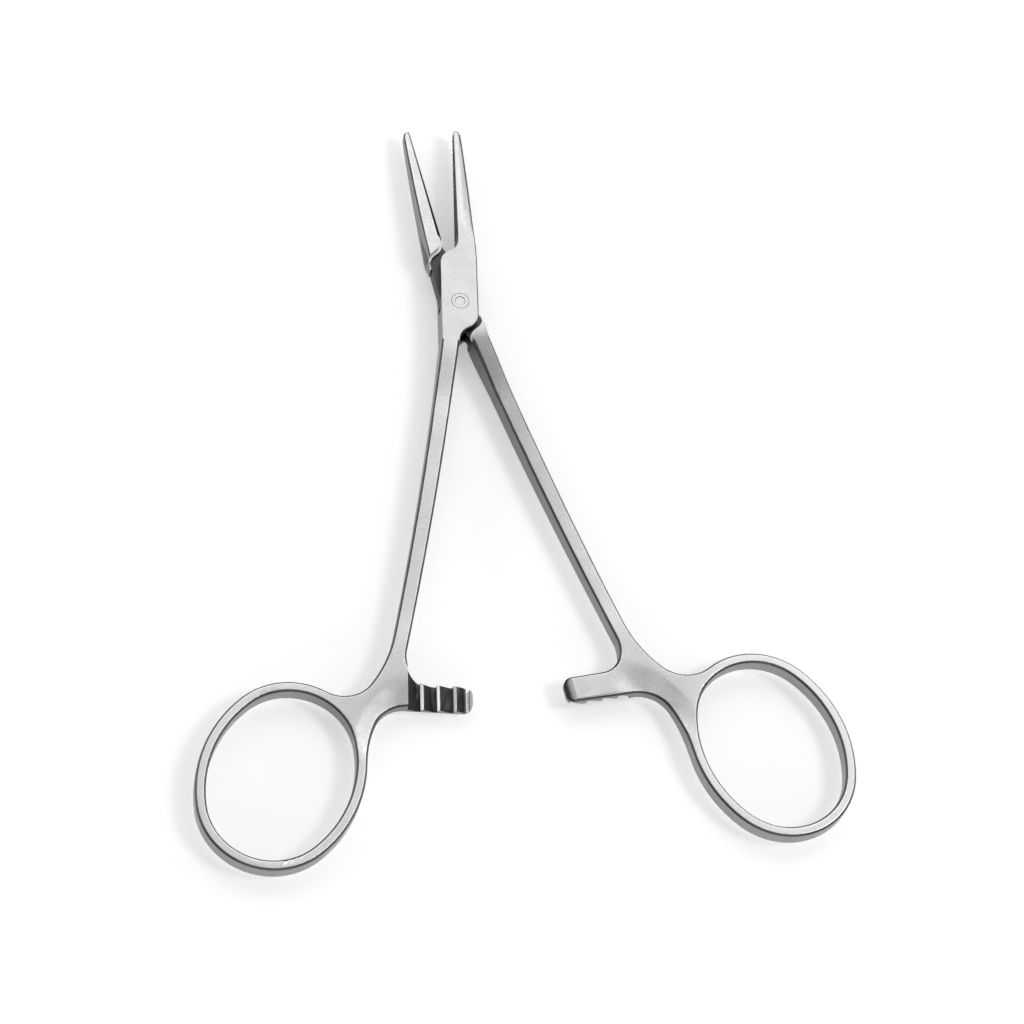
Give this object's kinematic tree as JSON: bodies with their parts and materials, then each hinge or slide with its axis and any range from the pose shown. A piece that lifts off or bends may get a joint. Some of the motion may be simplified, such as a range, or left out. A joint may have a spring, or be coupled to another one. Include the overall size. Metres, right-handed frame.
{
  "type": "artery forceps",
  "caption": "Straight locking artery forceps with a riveted box lock, slim serrated jaws, finger rings and a toothed ratchet between the shanks.",
  "frame": {"origin": "pivot axis of the box lock, at the flat underside of the lock", "axes": "+Z along the pivot axis, out of the upper face of the lock; +Y from the pivot to the jaw tips along the closing line of the box half"},
  "size_m": [0.0917, 0.1205, 0.0044],
  "materials": {
    "satin_steel": "fine satin, bead blasted",
    "rivet_steel": "ground flush with the lock"
  },
  "bodies": {
    "box_arm": {"box_half": "satin_steel", "pivot_pin": "rivet_steel"},
    "tongue_arm": {"tongue_half": "satin_steel"}
  },
  "joints": [
    {"name": "lock_pivot", "type": "hinge", "parent": "box_arm", "child": "tongue_arm", "pos_m": [0, 0, 0], "axis": [0, 0, 1], "range_deg": [-12.5, 30]}
  ]
}
